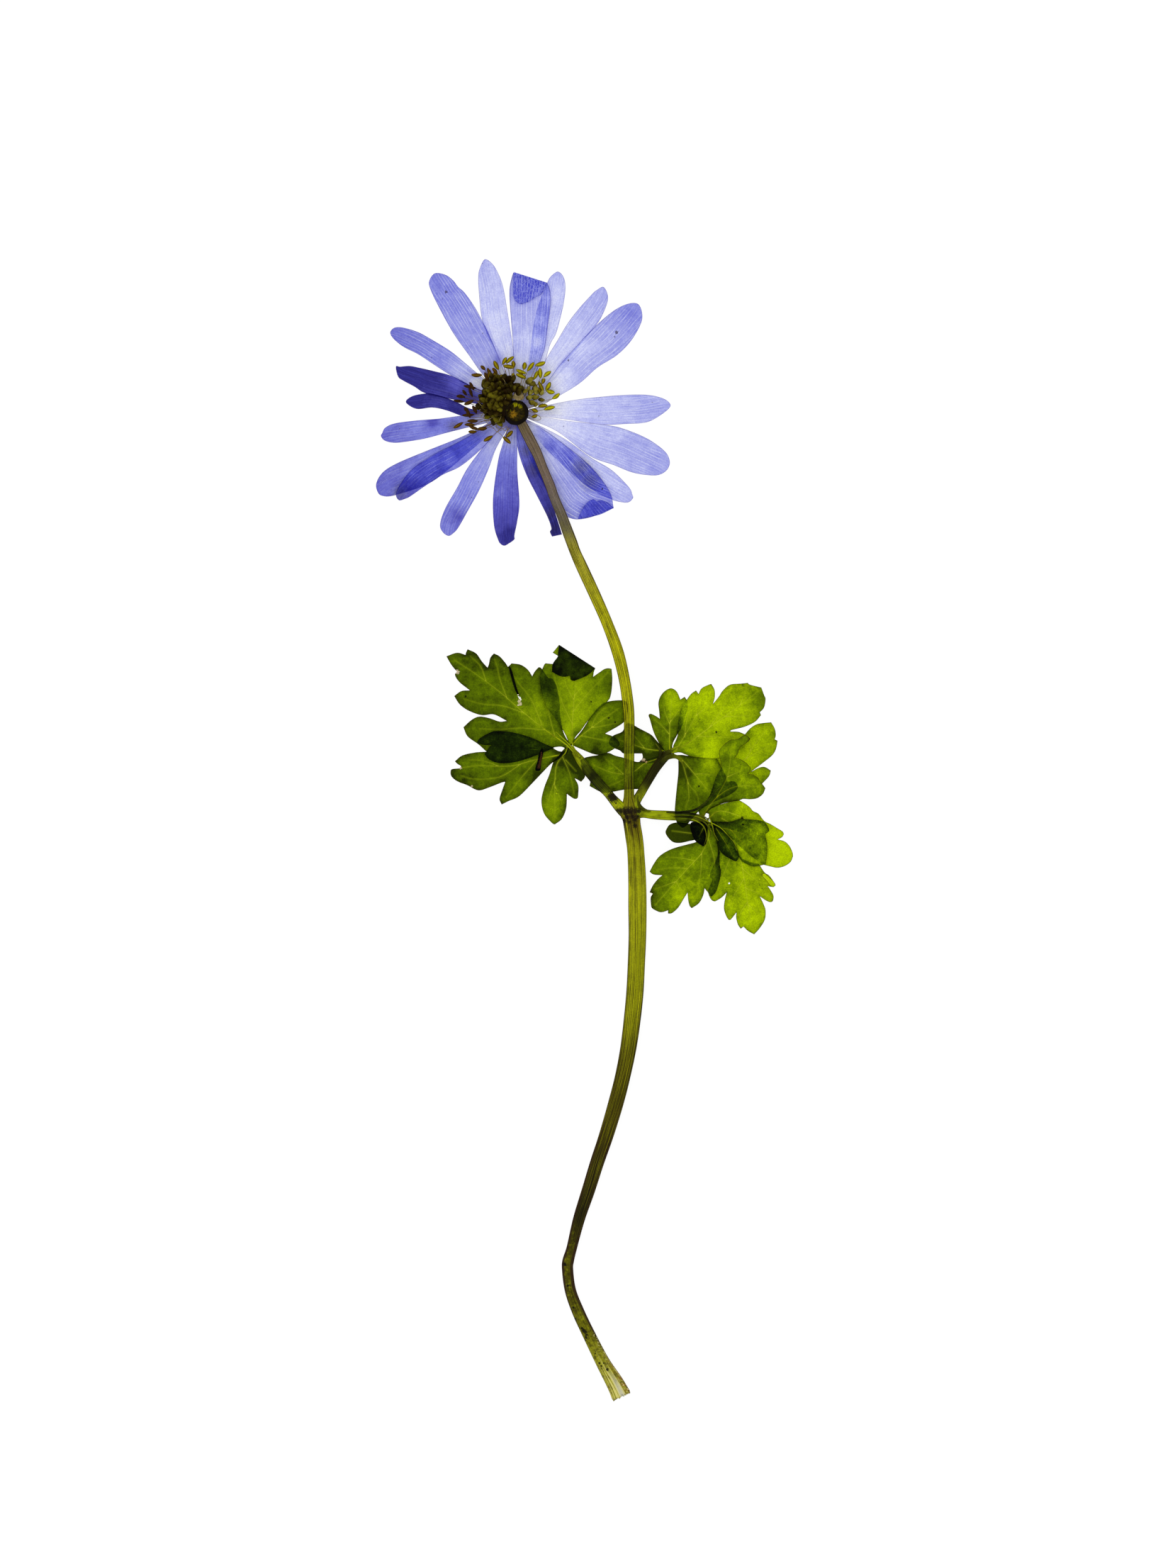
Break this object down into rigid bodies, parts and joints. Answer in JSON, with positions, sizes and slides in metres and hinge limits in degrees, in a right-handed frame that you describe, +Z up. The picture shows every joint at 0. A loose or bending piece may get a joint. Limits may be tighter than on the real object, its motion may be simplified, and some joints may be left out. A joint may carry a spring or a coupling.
{
  "type": "anemone flower",
  "caption": "Cut blue anemone lying flat: a daisy-like flower of narrow tepals on a curved ribbed stem with a whorl of cut leaves.",
  "frame": {"origin": "middle of the outline of the lying flower, on the surface that it lies on", "axes": "+Y from the cut end of the stem towards the flower, +Z up from the surface, towards the face of the flower"},
  "size_m": [0.0588, 0.161, 0.0047],
  "materials": {
    "stem": "satin, ribbed, fleshy olive green",
    "leaf_dark": "matt, thin, veined dark green",
    "leaf_light": "matt, thin, veined yellow green",
    "tepal": "matt, thin, translucent lavender blue with pale veins",
    "stamen": "matt, yellow olive",
    "carpel": "matt, knobbly dark olive"
  },
  "bodies": {
    "root": {"stem": "stem", "leaf_left": "leaf_dark", "leaf_upper_right": "leaf_light", "leaf_lower_right": "leaf_light", "tepals": "tepal", "stamens": "stamen", "carpels": "carpel"}
  },
  "joints": []
}
